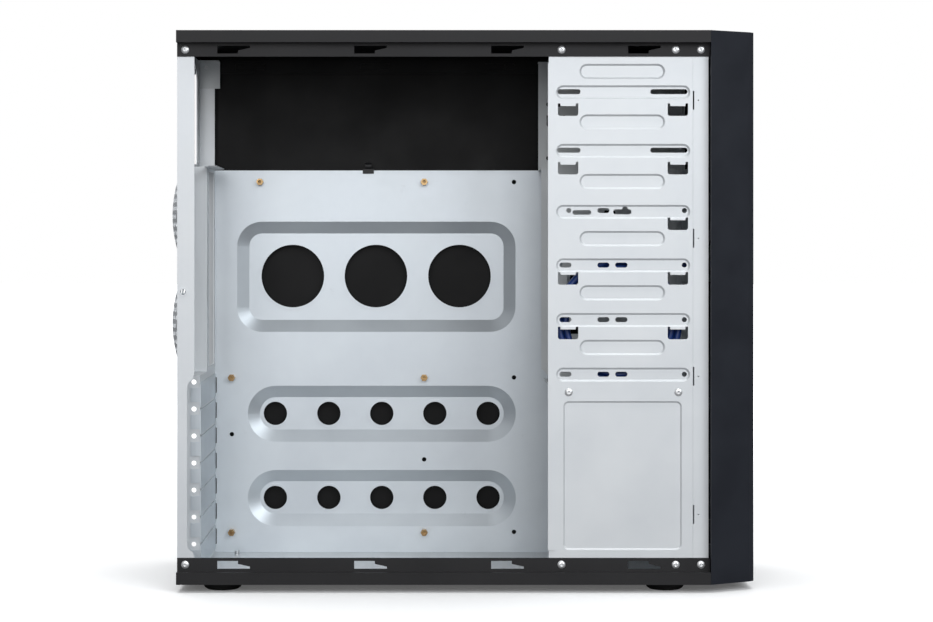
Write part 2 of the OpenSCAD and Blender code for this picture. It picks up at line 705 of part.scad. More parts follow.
module cage_side_plate() {
    color([0.85, 0.865, 0.88]) in_case() {
        difference() {
            union() {
                block([cage_x0, -post_y, floor_top + 4.4], [cage_front, -post_y + sheet_t, cage_top]);
                block([cage_x0 - 0.6, -lip_y, floor_top + 22.7], [cage_x0 + 4.5, -post_y, inner_top - 14.8]);
                block([cage_x0 - 0.6, -lip_y, floor_top + 22.7], [cage_x0, -post_y + sheet_t, inner_top - 14.8]);
                cage_presses(false);
            }
            cage_presses(true);
            along_y(-post_y - 3, 8) {
                bay_slots_2d();
                for (p = rest_at) rest_cut_2d(p[0], p[1]);
                intersection() {
                    hook_slots(1);
                    translate([cage_x0, 0]) square([cage_l, z_top]);
                }
                translate([0, z_top + z_bottom]) mirror([0, 1]) intersection() {
                    hook_slots(1);
                    translate([cage_x0, 0]) square([cage_l, z_top]);
                }
            }
            for (x = [rivet_x[1], rivet_x[2]], z = [rivet_z, z_top + z_bottom - rivet_z])
                translate([x, -post_y + 2, z]) rotate([90, 0, 0]) cylinder(h = 4, r = rivet_hole_r);
            for (x = cage_rivet_x) translate([x, -post_y + 2, cage_rivet_z]) rotate([90, 0, 0])
                cylinder(h = 4, r = rivet_hole_r);
        }
        // bent drive rests
        for (p = rest_at)
            block([p[0] + 2, -post_y, p[1] - sheet_t], [p[0] + tab_w - 2, -post_y + sheet_t + tab_in, p[1]]);
    }
}

cage_rivet_x = [cage_x0 + 14.7, cage_x0 + 95.4];
cage_rivet_z = shelf_z - 4;

module cage_upper_wall() {
    z0 = step_z - sheet_t;
    color([0.74, 0.76, 0.77]) in_case() {
        difference() {
            block([cage_x0, wide_y, z0], [cage_front, wide_y + sheet_t, cage_top]);
            along_y(wide_y - 1, 4) {
                for (z = wide_rest_z) {
                    slot_2d(cage_x0 + 6.4, cage_x0 + 23.4, z + wide_hole_up, cage_slot_r);
                    slot_2d(cage_x0 + 74.8, cage_x0 + 102.2, z + wide_hole_up, cage_slot_r);
                }
                for (x = [cage_x0 + 6.7, cage_x0 + 87.5]) rest_cut_2d(x, wide_rest_z[0]);
            }
        }
        for (x = [cage_x0 + 6.7, cage_x0 + 87.5])
            block([x + 2, wide_y - tab_in, wide_rest_z[0] - sheet_t],
                  [x + tab_w - 2, wide_y + sheet_t, wide_rest_z[0]]);
        // fold along the top that stiffens the wall
        block([cage_x0, wide_y, cage_top - sheet_t], [cage_front, wide_y + 8, cage_top]);
    }
}

module cage_lower_wall() {
    corner = 8;
    color([0.70, 0.72, 0.73]) in_case() {
        difference() {
            along_y(narrow_y, sheet_t) polygon([
                [cage_x0 + corner, shelf_z], [cage_front, shelf_z], [cage_front, step_z - sheet_t],
                [cage_x0, step_z - sheet_t], [cage_x0, shelf_z + corner]
            ]);
            along_y(narrow_y - 1, 4) {
                for (i = [0 : 3]) {
                    slot_2d(cage_x0 + 7.9, cage_x0 + 16.7, narrow_rest_z[i] + narrow_hole_up, cage_slot_r);
                    slot_2d(cage_x0 + 49, cage_x0 + 58, narrow_rest_z[i] + narrow_hole_up, cage_slot_r);
                    translate([cage_x0 + 99.9, narrow_rest_z[i] + narrow_hole_up]) circle(cage_slot_r);
                }
                for (i = [0 : 2], x = [cage_x0 + 20, cage_x0 + 80]) rest_cut_2d(x, narrow_rest_z[i]);
            }
        }
        for (i = [0 : 2], x = [cage_x0 + 20, cage_x0 + 80])
            block([x + 2, narrow_y - tab_in, narrow_rest_z[i] - sheet_t],
                  [x + tab_w - 2, narrow_y + sheet_t, narrow_rest_z[i]]);
        // step out to the wider bays above
        block([cage_x0, narrow_y, step_z - sheet_t], [cage_front, wide_y, step_z]);
    }
}

module cage_shelf() {
    color([0.70, 0.72, 0.73]) in_case() difference() {
        union() {
            block([cage_x0 + 2, cage_y0, shelf_z - sheet_t], [cage_front, narrow_y + sheet_t, shelf_z]);
            block([cage_x0 + 2, cage_y0, shelf_z - 9], [cage_front, cage_y0 + sheet_t, shelf_z]);
        }
        for (x = cage_rivet_x) translate([x, cage_y0 + 2, cage_rivet_z]) rotate([90, 0, 0])
            cylinder(h = 4, r = rivet_hole_r);
    }
}

module cage_rivets() {
    color([0.88, 0.89, 0.90]) in_case() for (x = cage_rivet_x) pop_rivet(x, -post_y, cage_rivet_z, -1);
}

module near_rivets() {
    color([0.88, 0.89, 0.90]) in_case()
        for (x = rivet_x, z = [rivet_z, z_top + z_bottom - rivet_z]) pop_rivet(x, -lip_y, z, -1);
}

module far_rivets() {
    color([0.88, 0.89, 0.90]) in_case()
        for (x = far_rivet_x, z = [rivet_z, z_top + z_bottom - rivet_z]) pop_rivet(x, lip_y, z, 1);
}

// ---- steel front ----

intake_z = z_bottom + 94;
intake_r = 42;
intake_pitch = 9;

module front_panel() {
    x1 = chassis_l - touch - sheet_t;
    x0 = x1 - sheet_t;
    flange_x = cage_front + touch;
    color([0.84, 0.855, 0.87]) in_case() difference() {
        union() {
            block([x0, -post_y, floor_top + touch], [x1 - touch, post_y, inner_top]);
            for (s = [0, 1]) mirror([0, s, 0])
                block([flange_x, -post_y, floor_top + touch], [x1 - touch, -post_y + sheet_t, inner_top]);
        }
        along_x(x0 - 1, 4) {
            // drive bay openings
            translate([cage_y0 + 1.5, wide_rest_z[1] + 0.5]) square([wide_bay_w - 3, wide_cover_h - 0.5]);
            translate([cage_y0 + 1.5, wide_rest_z[0] + 0.5]) square([wide_bay_w - 3, wide_cover_h - 0.5]);
            translate([cage_y0 + 1.5, narrow_rest_z[0] + 0.5]) square([narrow_bay_w - 3, narrow_cover_h]);
            translate([coil_y, io_z]) circle(8);
            // slots for the bezel clips
            for (y = [-clip_y, clip_y], z = clip_z) translate([y - 2.5, z - 5.5]) square([5, 11]);
            // air holes
            for (j = [-6 : 6], i = [-6 : 6]) {
                y = (i + (j % 2 == 0 ? 0 : 0.5)) * intake_pitch;
                up = j * intake_pitch * 0.866;
                if (norm([y, up]) < intake_r) translate([y, intake_z + up]) circle(3);
            }
        }
        // narrow slits beside the cage
        for (z = slit_z) block([flange_x - 1, -post_y - 1, z - 6.9], [flange_x + 1, -post_y + 2, z + 6.9]);
        for (s = [0, 1], z = [rivet_z, z_top + z_bottom - rivet_z]) mirror([0, s, 0])
            translate([rivet_x[3], -post_y + 2, z]) rotate([90, 0, 0]) cylinder(h = 4, r = rivet_hole_r);
        for (z = slit_z) translate([flange_x + 4, -post_y + 2, z]) rotate([90, 0, 0]) cylinder(h = 4, r = 0.5);
    }
}

// ---- feet ----

module foot(x, y) {
    color([0.07, 0.07, 0.075]) in_case() translate([x, y, 0]) rotate_extrude()
        polygon([
            [2.4, foot_h], [foot_d / 2, foot_h], [foot_d / 2, foot_h * 0.55], [foot_d / 2 - 1.2, foot_h * 0.2],
            [foot_d / 2 - 3, 0], [6.5, 0], [6.5, foot_h - 2.4], [2.4, foot_h - 2.4]
        ]);
}

module foot_rear_left() foot(foot_x[0], -foot_y);
module foot_rear_right() foot(foot_x[0], foot_y);
module foot_front_left() foot(foot_x[1], -foot_y);
module foot_front_right() foot(foot_x[1], foot_y);

module foot_screws() {
    color([0.6, 0.6, 0.62]) in_case() for (x = foot_x, y = [-foot_y, foot_y])
        translate([x, y, 0]) difference() {
            union() {
                translate([0, 0, foot_h - 4.4]) cylinder(h = 2, r = 4);
                translate([0, 0, foot_h - 3]) cylinder(h = 7.5, r = foot_bore_r - fit_gap);
            }
            for (a = [0, 90]) rotate(a) block([-2.4, -0.5, foot_h - 4.5], [2.4, 0.5, foot_h - 3.4]);
        }
}

// ---- bezel ----

module bezel_outline(inset) {
    x0 = bezel_x0 - (inset > 0 ? 1 : 0);
    skew = norm([1, bezel_side]); // a wall's width across the case for each unit of its thickness
    chamfer_run = 0.55; // how far the chamfer runs in for each unit of its depth
    y0 = half_w - inset * skew + (bezel_x0 - x0) * bezel_side;
    y1 = bezel_front_w / 2 + inset * bezel_side - inset * skew;
    cut = inset > 0 ? 0 : bezel_chamfer;
    side_y = y1 + cut * bezel_side;
    front_y = y1 - cut * chamfer_run;
    x1 = bezel_x1 - inset;
    polygon([[x0, -y0], [x1 - cut, -side_y], [x1, -front_y], [x1, front_y], [x1 - cut, side_y], [x0, y0]]);
}

module front_bezel() {
    inner_x = bezel_x1 - bezel_t;
    color([0.12, 0.13, 0.155]) in_case() {
        difference() {
            union() {
                difference() {
                    translate([0, 0, z_bottom]) linear_extrude(body_h) bezel_outline(0);
                    translate([0, 0, z_bottom + bezel_t]) linear_extrude(body_h - 2 * bezel_t) bezel_outline(bezel_t);
                }
                // posts that carry the port board
                for (p = post_at) hole_x(io_x, inner_x + eps, p[0], io_z + p[1], 3.2);
            }
            along_x(inner_x - 1, bezel_t + 2) {
                for (i = [0 : 2])
                    rounded_rect(-cover_w / 2 - seam, cover_z[i] - cover_h[i] / 2 - seam,
                                 cover_w / 2 + seam, cover_z[i] + cover_h[i] / 2 + seam, cover_r);
                for (i = [0 : vent_count - 1]) slot_2d(-vent_w / 2, vent_w / 2, vent_z0 + i * vent_pitch, vent_h / 2);
                for (y = usb_y) rounded_rect(y - 7, io_z - 3.4, y + 7, io_z + 3.4, 0.8);
            }
            for (y = audio_y) hole_x(inner_x - 1, bezel_x1 + 1, y, io_z, 3.6);
            for (y = led_y) hole_x(inner_x - 1, bezel_x1 + 1, y, io_z, 1.5 + fit_gap);
            hole_x(inner_x - 1, bezel_x1 + 1, power_y, io_z, power_d / 2 + seam);
            hole_x(inner_x - 1, bezel_x1 + 1, reset_y, io_z, reset_d / 2 + seam);
            for (p = post_at) hole_x(io_x - 1, io_x + 8, p[0], io_z + p[1], 1.1);
        }
        // snap clips that hold the bezel in the steel front
        for (s = [-1, 1], z = clip_z) {
            block([bezel_x0 - 7, s * clip_y - 1, z - 4], [clip_x1, s * clip_y + 1, z + 4]);
            translate([0, 0, z - 4]) linear_extrude(8) polygon([
                [bezel_x0 - 7, s * clip_y], [bezel_x0 - 2.6, s * clip_y + s * 2.2],
                [bezel_x0 - 2.6, s * clip_y], [bezel_x0 - 7, s * clip_y]
            ]);
        }
    }
}

// Snap-in cover of a drive bay, i counted from the top
module bay_cover(i) {
    x0 = bezel_x1 - cover_t;
    arm_y = cover_w / 2 - 4;
    color([0.125, 0.135, 0.16]) in_case() translate([0, 0, cover_z[i]]) {
        difference() {
            along_x(x0, cover_t)
                rounded_rect(-cover_w / 2, -cover_h[i] / 2, cover_w / 2, cover_h[i] / 2, cover_r - seam);
            // finger groove along the lower edge
            translate([bezel_x1 + 1.2, 0, -cover_h[i] / 2 + 4]) rotate([90, 0, 0])
                cylinder(h = 40, r = 2.4, center = true);
        }
        for (s = [-1, 1])
            block([x0 - 14, s * arm_y - 1, -8], [x0 + eps, s * arm_y + 1, 8]);
    }
}

module bay_cover_upper() bay_cover(0);
module bay_cover_middle() bay_cover(1);
module bay_cover_lower() bay_cover(2);

switch_x = io_x + 8; // front face of the switches
stem_in = 1.6; // how far a button's stem reaches into its switch
stem_r = 2.4;

module button(y, d, dish) {
    inner_x = bezel_x1 - bezel_t;
    color([0.30, 0.31, 0.33]) in_case() difference() {
        union() {
            hole_x(inner_x - 1, bezel_x1 + button_proud, y, io_z, d / 2);
            hole_x(inner_x - 2.5, inner_x - touch, y, io_z, d / 2 + 1.4);
            hole_x(switch_x - stem_in, inner_x - 1, y, io_z, stem_r);
        }
        // shallow dish for the fingertip
        if (dish) translate([bezel_x1 + button_proud + 38.9, y, io_z]) sphere(40, $fn = 96);
    }
}

module power_button() button(power_y, power_d, true);
module reset_button() button(reset_y, reset_d, false);

module switch_body(y) {
    color([0.08, 0.08, 0.08]) in_case() difference() {
        block([io_x, y - 4.5, io_z - 4.5], [switch_x, y + 4.5, io_z + 4.5]);
        hole_x(switch_x - stem_in - button_travel - 0.6, switch_x + 1, y, io_z, stem_r + 0.08);
    }
}

module power_switch() switch_body(power_y);
module reset_switch() switch_body(reset_y);

module io_board() {
    color([0.08, 0.28, 0.16]) in_case() difference() {
        block([io_x - board_t, board_y[0], io_z - board_half_h], [io_x, board_y[1], io_z + board_half_h]);
        for (p = post_at) hole_x(io_x - 3, io_x + 1, p[0], io_z + p[1], 1.3);
    }
}

module io_screws() {
    color([0.6, 0.6, 0.62]) in_case() for (p = post_at) difference() {
        union() {
            hole_x(io_x - board_t - 1.8, io_x - board_t, p[0], io_z + p[1], 2.6);
            hole_x(io_x - board_t - 1, io_x + 6, p[0], io_z + p[1], 1.05);
        }
        translate([io_x - board_t - 2, p[0], io_z + p[1]])
            for (a = [0, 90]) rotate([a, 0, 0]) block([-0.5, -1.6, -0.3], [1, 1.6, 0.3]);
    }
}

module usb_ports() {
    mouth = bezel_x1 - 1.2;
    color([0.72, 0.73, 0.75]) in_case() for (y = usb_y) {
        difference() {
            block([io_x, y - 6.6, io_z - 2.9], [mouth, y + 6.6, io_z + 2.9]);
            block([mouth - 12, y - 6.2, io_z - 2.5], [mouth + 1, y + 6.2, io_z + 2.5]);
        }
        block([mouth - 12.5, y - 5.6, io_z + 0.3], [mouth - 2, y + 5.6, io_z + 2.1]);
    }
}

module audio_jacks() {
    face = bezel_x1 - 0.8;
    color([0.10, 0.10, 0.11]) in_case() for (y = audio_y) difference() {
        union() {
            block([io_x, y - 5.5, io_z - 5], [face - 6, y + 5.5, io_z + 5]);
            hole_x(face - 7, face, y, io_z, 3.3);
        }
        hole_x(face - 14, face + 1, y, io_z, 1.8);
    }
}

module status_leds() {
    color([0.85, 0.90, 0.95]) in_case() for (y = led_y) {
        hole_x(io_x, io_x + 4, y, io_z, 1.5);
        translate([io_x + 4, y, io_z]) sphere(1.5);
    }
}

module light_pipes() {
    color([0.9, 0.93, 0.96]) in_case() for (y = led_y) {
        hole_x(io_x + 6.2, bezel_x1 + 0.2, y, io_z, 1.5);
        hole_x(bezel_x1 - bezel_t - 2, bezel_x1 - bezel_t, y, io_z, 2.2);
    }
}

// ---- front panel cable ----

module io_header() {
    color([0.92, 0.92, 0.90]) in_case()
        block([io_x - board_t - 8, coil_y - 7, io_z - 4.5], [io_x - board_t, coil_y + 7, io_z + 4.5]);
}

module cable_grommet() {
    x1 = chassis_l - touch - sheet_t;
    color([0.06, 0.06, 0.065]) in_case() difference() {
        union() {
            hole_x(x1 - sheet_t - 2, x1 - sheet_t, coil_y, io_z, 10);
            hole_x(x1 - touch, x1 + 1.9, coil_y, io_z, 10);
            hole_x(x1 - sheet_t - 1, x1 + 0.5, coil_y, io_z, 7.9);
        }
        hole_x(x1 - 5, x1 + 4, coil_y, io_z, cable_d / 2 + 1.6);
    }
}

// Tube swept along points, as rings square to the line at each point
tube_sides = 10;
function unit(v) = v / norm(v);
function heading(p, i) = unit(p[min(i + 1, len(p) - 1)] - p[max(i - 1, 0)]);
function across(h) = unit(cross(h, abs(h[2]) > 0.9 ? [1, 0, 0] : [0, 0, 1]));
function ring(p, i, r) = let (h = heading(p, i), a = across(h), b = cross(a, h))
    [for (k = [0 : tube_sides - 1]) p[i] + r * (cos(360 * k / tube_sides) * a + sin(360 * k / tube_sides) * b)];

module tube(p, r) {
    n = len(p);
    rings = [for (i = [0 : n - 1]) each ring(p, i, r)];
    walls = [for (i = [0 : n - 2], k = [0 : tube_sides - 1]) let (q = (k + 1) % tube_sides)
        [i * tube_sides + k, i * tube_sides + q, (i + 1) * tube_sides + q, (i + 1) * tube_sides + k]];
    start = [for (k = [0 : tube_sides - 1]) tube_sides - 1 - k];
    end = [for (k = [0 : tube_sides - 1]) (n - 1) * tube_sides + k];
    polyhedron(rings, concat([start, end], walls));
}

module cable_lead() {
    color([0.10, 0.20, 0.55]) in_case() tube(lead_points, cable_d / 2);
}

module cable_coil() {
    color([0.10, 0.20, 0.55]) in_case() translate([coil_x, coil_y, coil_z]) rotate([90, 0, 0])
        rotate_extrude($fn = 96) translate([coil_r, 0]) {
            square([coil_h - 2 * 3, coil_w], center = true);
            square([coil_h, coil_w - 2 * 3], center = true);
            for (i = [-1, 1], j = [-1, 1]) translate([i * (coil_h / 2 - 3), j * (coil_w / 2 - 3)]) circle(3);
        }
}

module cable_tail() {
    color([0.10, 0.20, 0.55]) in_case() tube(tail_points, cable_d / 2);
}

// Tie wrapped once round the bundle of turns
module cable_tie() {
    a = 40;
    color([0.05, 0.05, 0.05]) in_case() translate([coil_x, coil_y, coil_z]) rotate([0, a, 0])
        translate([coil_r, 0, 0]) difference() {
            cube([coil_h + 2.6, coil_w + 2.6, 4], center = true);
            cube([coil_h + 0.6, coil_w + 0.6, 6], center = true);
        }
}

module header_plug() {
    p = tail_points[len(tail_points) - 1];
    color([0.05, 0.05, 0.055]) in_case()
        block([p[0] - 6.5, p[1], shelf_z + 0.1], [p[0] + 6.5, p[1] + 15, shelf_z + 6.6]);
}

// ---- side panel ----

module panel_hook(x) {
    // a neck that runs through the slot's tail, and a tongue behind the lip
    neck_x = x + hook_slot_l + 1;
    neck_l = hook_tail_l - 2;
    neck_z = hook_top - hook_tail_h / 2;
    block([neck_x, post_y - sheet_t - 0.8, neck_z - 0.4], [neck_x + neck_l, hem_y + 0.2, neck_z + 0.4]);
    block([neck_x, post_y - sheet_t - 1.4, neck_z - 4.2], [neck_x + neck_l, post_y - sheet_t - 0.6, neck_z + 0.4]);
}

lock_head_r = 5.2;
dish_z = [lock_z - pocket_h / 2, lock_z + pocket_h / 2];
dish_floor_y = post_y + 0.3;

module side_panel() {
    wide = sheet_t + touch; // a dish wall and the gap beside it
    color([0.11, 0.115, 0.12]) in_case() difference() {
        union() {
            block([panel_x0, half_w - sheet_t, panel_z0], [panel_x1, half_w, panel_z1]);
            // folds along the top and bottom edges, each with a return that faces the lip
            for (s = [0, 1]) translate([0, 0, s * (z_top + z_bottom)]) mirror([0, 0, s]) {
                block([panel_x0, fold_y, panel_z1 - sheet_t], [panel_x1, half_w, panel_z1]);
                block([rivet_x[0] + slide_l + 5, hem_y, panel_z1 - sheet_t], [rivet_x[3] - 6, half_w, panel_z1]);
                block([rivet_x[0] + slide_l + 5, hem_y, panel_z1 - 7], [rivet_x[3] - 6, hem_y + sheet_t, panel_z1]);
                for (i = [0 : hook_count - 1]) panel_hook(hook_first + i * hook_step);
            }
            for (x = [panel_x0, panel_x1 - sheet_t])
                block([x, fold_y, panel_z0], [x + sheet_t, half_w, panel_z1]);
        }
        block([panel_x0 - 1, fold_y - 1, dish_z[0] - wide], [pocket_x1 + wide, half_w + 1, dish_z[1] + wide]);
    }
}

// Moulded dish that sinks the thumbscrew below the face of the side panel
module lock_dish() {
    rim = 3;
    rim_y = half_w - sheet_t - 1;
    slot_half = screw_r + 0.9;
    key_half = lock_head_r + 0.6;
    color([0.10, 0.10, 0.11]) in_case() difference() {
        union() {
            block([panel_x0, dish_floor_y, dish_z[0] - sheet_t],
                  [pocket_x1 + sheet_t, half_w - 0.2, dish_z[1] + sheet_t]);
            // rim behind the face of the panel
            block([panel_x0 + sheet_t + touch, rim_y, dish_z[0] - sheet_t - rim],
                  [pocket_x1 + sheet_t + rim, half_w - sheet_t, dish_z[1] + sheet_t + rim]);
        }
        block([panel_x0 - 1, dish_floor_y + sheet_t, dish_z[0]], [pocket_x1, half_w + 1, dish_z[1]]);
        // keyhole that lets the panel slide under the loosened screw, then lift off over its head
        block([lock_x - slot_half, dish_floor_y - 1, lock_z - slot_half],
              [lock_x + slide_l, dish_floor_y + 2, lock_z + slot_half]);
        block([lock_x + slide_l - key_half, dish_floor_y - 1, lock_z - key_half],
              [lock_x + slide_l + key_half, dish_floor_y + 2, lock_z + key_half]);
    }
}

// Thumbscrew that clamps the side panel to the far rear post
module thumbscrew() {
    head_y = dish_floor_y + sheet_t + touch;
    knurls = 24;
    color([0.75, 0.76, 0.78]) in_case() translate([lock_x, head_y, lock_z]) rotate([-90, 0, 0]) difference() {
        union() {
            cylinder(h = 5.6, r = lock_head_r - 0.2);
            cylinder(h = 1, r = lock_head_r);
            translate([0, 0, -7]) cylinder(h = 8, r = screw_r);
        }
        for (k = [0 : knurls - 1]) rotate(k * 360 / knurls)
            translate([lock_head_r, 0, 1.4]) cylinder(h = 5, r = 0.45);
        for (a = [0, 90]) rotate(a) block([-2.6, -0.5, 4.4], [2.6, 0.5, 6]);
    }
}

top_cover();
bottom_cover();
floor_plate();
rear_panel();
slot_cover_1();
slot_cover_2();
slot_cover_3();
slot_cover_4();
slot_cover_5();
slot_cover_6();
slot_cover_7();
slot_tub();
motherboard_tray();
standoffs();
cable_clip();
corner_bracket();
cage_side_plate();
cage_upper_wall();
cage_lower_wall();
cage_shelf();
cage_rivets();
front_panel();
near_rivets();
far_rivets();
foot_rear_left();
foot_rear_right();
foot_front_left();
foot_front_right();
foot_screws();
front_bezel();
bay_cover_upper();
bay_cover_middle();
bay_cover_lower();
power_button();
reset_button();
power_switch();
reset_switch();
io_board();
io_screws();
usb_ports();
audio_jacks();
status_leds();
light_pipes();
io_header();
cable_grommet();
cable_lead();
cable_coil();
cable_tail();
cable_tie();
header_plug();
side_panel();
lock_dish();
thumbscrew();
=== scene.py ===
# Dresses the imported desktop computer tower: camera, light, cable, rivets, bezel and finishes.
import json
import math

import bmesh
import bpy
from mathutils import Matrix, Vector


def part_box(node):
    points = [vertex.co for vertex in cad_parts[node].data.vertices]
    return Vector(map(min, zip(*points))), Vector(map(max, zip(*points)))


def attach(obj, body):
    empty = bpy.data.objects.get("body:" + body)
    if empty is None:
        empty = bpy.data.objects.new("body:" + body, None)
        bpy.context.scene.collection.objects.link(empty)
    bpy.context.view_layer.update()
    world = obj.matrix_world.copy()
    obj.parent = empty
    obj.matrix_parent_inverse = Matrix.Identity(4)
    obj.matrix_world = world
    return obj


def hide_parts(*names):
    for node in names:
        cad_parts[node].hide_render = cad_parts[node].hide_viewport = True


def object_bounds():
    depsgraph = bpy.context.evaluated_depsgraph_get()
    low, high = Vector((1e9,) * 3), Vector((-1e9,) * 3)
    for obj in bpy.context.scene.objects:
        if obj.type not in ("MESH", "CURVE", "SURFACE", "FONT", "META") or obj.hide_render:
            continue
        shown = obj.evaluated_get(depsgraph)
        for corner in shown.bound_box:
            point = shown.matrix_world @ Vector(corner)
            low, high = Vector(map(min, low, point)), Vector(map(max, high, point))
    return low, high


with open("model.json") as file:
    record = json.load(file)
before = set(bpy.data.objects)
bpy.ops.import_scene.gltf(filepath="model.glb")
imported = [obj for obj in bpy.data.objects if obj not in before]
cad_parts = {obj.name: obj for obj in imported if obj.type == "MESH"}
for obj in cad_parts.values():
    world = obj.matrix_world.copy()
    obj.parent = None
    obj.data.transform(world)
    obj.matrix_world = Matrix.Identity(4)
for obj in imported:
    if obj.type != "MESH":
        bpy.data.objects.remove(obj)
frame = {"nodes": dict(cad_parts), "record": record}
nodes = frame["nodes"]
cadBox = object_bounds()
print("stage 1: frame loaded,", len(nodes), "nodes")

scene = bpy.context.scene
scene.view_settings.view_transform = "Standard"

cameraSetup = {
    "place": (-0.0293, -1.747, 0.25275),
    "lens": 87.3,
    "shift": (0.0477, -0.0675),
    "sensor": 36,
    "clip": (0.05, 60),
}


def addCamera(setup):
    data = bpy.data.cameras.new("sideCamera")
    data.sensor_width = setup["sensor"]
    data.lens = setup["lens"]
    data.shift_x, data.shift_y = setup["shift"]
    data.clip_start, data.clip_end = setup["clip"]
    camera = bpy.data.objects.new("sideCamera", data)
    camera.location = setup["place"]
    camera.rotation_euler = (math.radians(90), 0, 0)
    scene.collection.objects.link(camera)
    scene.camera = camera


addCamera(cameraSetup)


mergeWithin = 1e-6  # metres between two corners that are one
flatWithin = math.radians(0.5)
edgeSetup = {"segments": 2, "angle": math.radians(35)}


def meshObject(name, verts, faces):
    mesh = bpy.data.meshes.new(name)
    mesh.from_pydata(verts, [], faces)
    mesh.validate()
    return linked(name, mesh)


def linked(name, data):
    obj = bpy.data.objects.new(name, data)
    scene.collection.objects.link(obj)
    return obj


def finalPiece(source, name):
    # a piece with the final mesh of its source, which is then removed
    graph = bpy.context.evaluated_depsgraph_get()
    mesh = bpy.data.meshes.new_from_object(source.evaluated_get(graph))
    bpy.data.objects.remove(source)
    mesh.name = name
    return linked(name, mesh)


def mergedCopy(node, name):
    # a CAD node is loose triangles, so its copy is merged first
    copy = nodes[node].copy()
    copy.data = nodes[node].data.copy()
    copy.name = copy.data.name = name
    scene.collection.objects.link(copy)
    bm = bmesh.new()
    bm.from_mesh(copy.data)
    bmesh.ops.remove_doubles(bm, verts=bm.verts, dist=mergeWithin)
    bmesh.ops.dissolve_limit(bm, angle_limit=flatWithin, verts=bm.verts, edges=bm.edges)
    bm.to_mesh(copy.data)
    bm.free()
    return copy


def solidsOf(node):
    # lowest and highest corner of each separate solid in a node
    bm = bmesh.new()
    bm.from_mesh(nodes[node].data)
    bmesh.ops.remove_doubles(bm, verts=bm.verts, dist=mergeWithin)
    left = set(bm.verts)
    boxes = []
    while left:
        todo = [left.pop()]
        low, high = Vector((math.inf,) * 3), Vector((-math.inf,) * 3)
        while todo:
            vert = todo.pop()
            low = Vector(map(min, low, vert.co))
            high = Vector(map(max, high, vert.co))
            for edge in vert.link_edges:
                other = edge.other_vert(vert)
                if other in left:
                    left.remove(other)
                    todo.append(other)
        boxes.append((low, high))
    bm.free()
    return sorted(boxes, key=lambda b: tuple(round(c, 5) for c in b[0]))


def bevelled(obj, width):
    bevel = obj.modifiers.new("edges", "BEVEL")
    bevel.width = width
    bevel.segments = edgeSetup["segments"]
    bevel.limit_method = "ANGLE"
    bevel.angle_limit = edgeSetup["angle"]
    bevel.harden_normals = False
    return obj


cableSetup = {
    "diameter": 0.005,
    "outerTurns": 3,
    "innerTurns": 2.5,
    "pointsPerTurn": 48,
    "coilGap": 0.0005,  # from the outer layer to the coil's box
    "restGap": 0.0002,
    "leadFall": (0, 0.0002, 0.0006, 0.0014, 0.002, 0.0012, -0.001, -0.0025),
    "leadStraight": 0.25,  # the share of the lead that runs on before it moves sideways
    "moveOver": 0.2,  # the share of a turn in which the cable moves to its next place
    "leadSteps": 6,
    "tailSteps": 5,
    # share of the reach, then sideways and up from the last turn
    "tailFall": ((0.28, 0.0007, -0.0001), (0.55, 0.003, -0.0009), (0.80, 0.0075, -0.0028)),
    # share of the reach, sideways from the last turn, and up from the shelf
    "tailBend": (0.96, 0.0135, 0.0011),
    "tailEnd": (-0.008, 0.001),  # the straight run into the plug
}


def leadPoints(setup, centre, outer):
    # the lead sinks a little between the board and the top of the outer layer
    low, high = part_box("io_header")
    board = (low + high) / 2
    exitPoint = Vector((low.x, board.y, board.z))
    steps = setup["leadFall"]
    straight = setup["leadStraight"]
    points = []
    for i, fall in enumerate(steps):
        t = i / (len(steps) - 1)
        across = max(0, t - straight) / (1 - straight)
        x = exitPoint.x + (centre.x - exitPoint.x) * t
        y = exitPoint.y + (centre.y + setup["diameter"] - exitPoint.y) * across
        z = exitPoint.z + (centre.z + outer - exitPoint.z) * t - fall * (1 - t)
        points.append(Vector((x, y, z)))
    return points


def turnPoints(setup, centre, outer):
    d = setup["diameter"]
    row = (d, 0, -d)
    places = [(outer, side) for side in row] + [(outer - d, side) for side in reversed(row)]
    count = int((setup["outerTurns"] + setup["innerTurns"]) * setup["pointsPerTurn"])
    share = setup["moveOver"]
    points = []
    for i in range(1, count + 1):
        at = i / setup["pointsPerTurn"]
        k = min(int(at), len(places) - 1)
        following = min(k + 1, len(places) - 1)
        t = min(1, max(0, (at - k - (1 - share)) / share))
        t = t * t * (3 - 2 * t)
        radius = places[k][0] * (1 - t) + places[following][0] * t
        side = places[k][1] * (1 - t) + places[following][1] * t
        a = math.pi / 2 + at * 2 * math.pi
        points.append(centre + Vector((radius * math.cos(a), side, radius * math.sin(a))))
    return points


def tailPoints(setup, last):
    low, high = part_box("header_plug")
    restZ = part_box("cage_shelf")[1].z + setup["diameter"] / 2 + setup["restGap"]
    end = Vector(((low.x + high.x) / 2, low.y, restZ))
    reach = end.x - last.x
    points = [last + Vector((reach * share, side, up)) for share, side, up in setup["tailFall"]]
    share, side, up = setup["tailBend"]
    points.append(Vector((last.x + reach * share, last.y + side, restZ + up)))
    return points + [Vector((end.x, end.y + shift, restZ)) for shift in setup["tailEnd"]]


def cablePath(setup):
    low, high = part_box("cable_coil")
    centre = (low + high) / 2
    outer = (high.x - low.x) / 2 - setup["diameter"] / 2 - setup["coilGap"]
    lead = leadPoints(setup, centre, outer)
    turns = turnPoints(setup, centre, outer)
    tail = tailPoints(setup, turns[-1])
    return (smoothed(lead, setup["leadSteps"]) + turns[:-1]
            + smoothed(turns[-1:] + tail, setup["tailSteps"]))


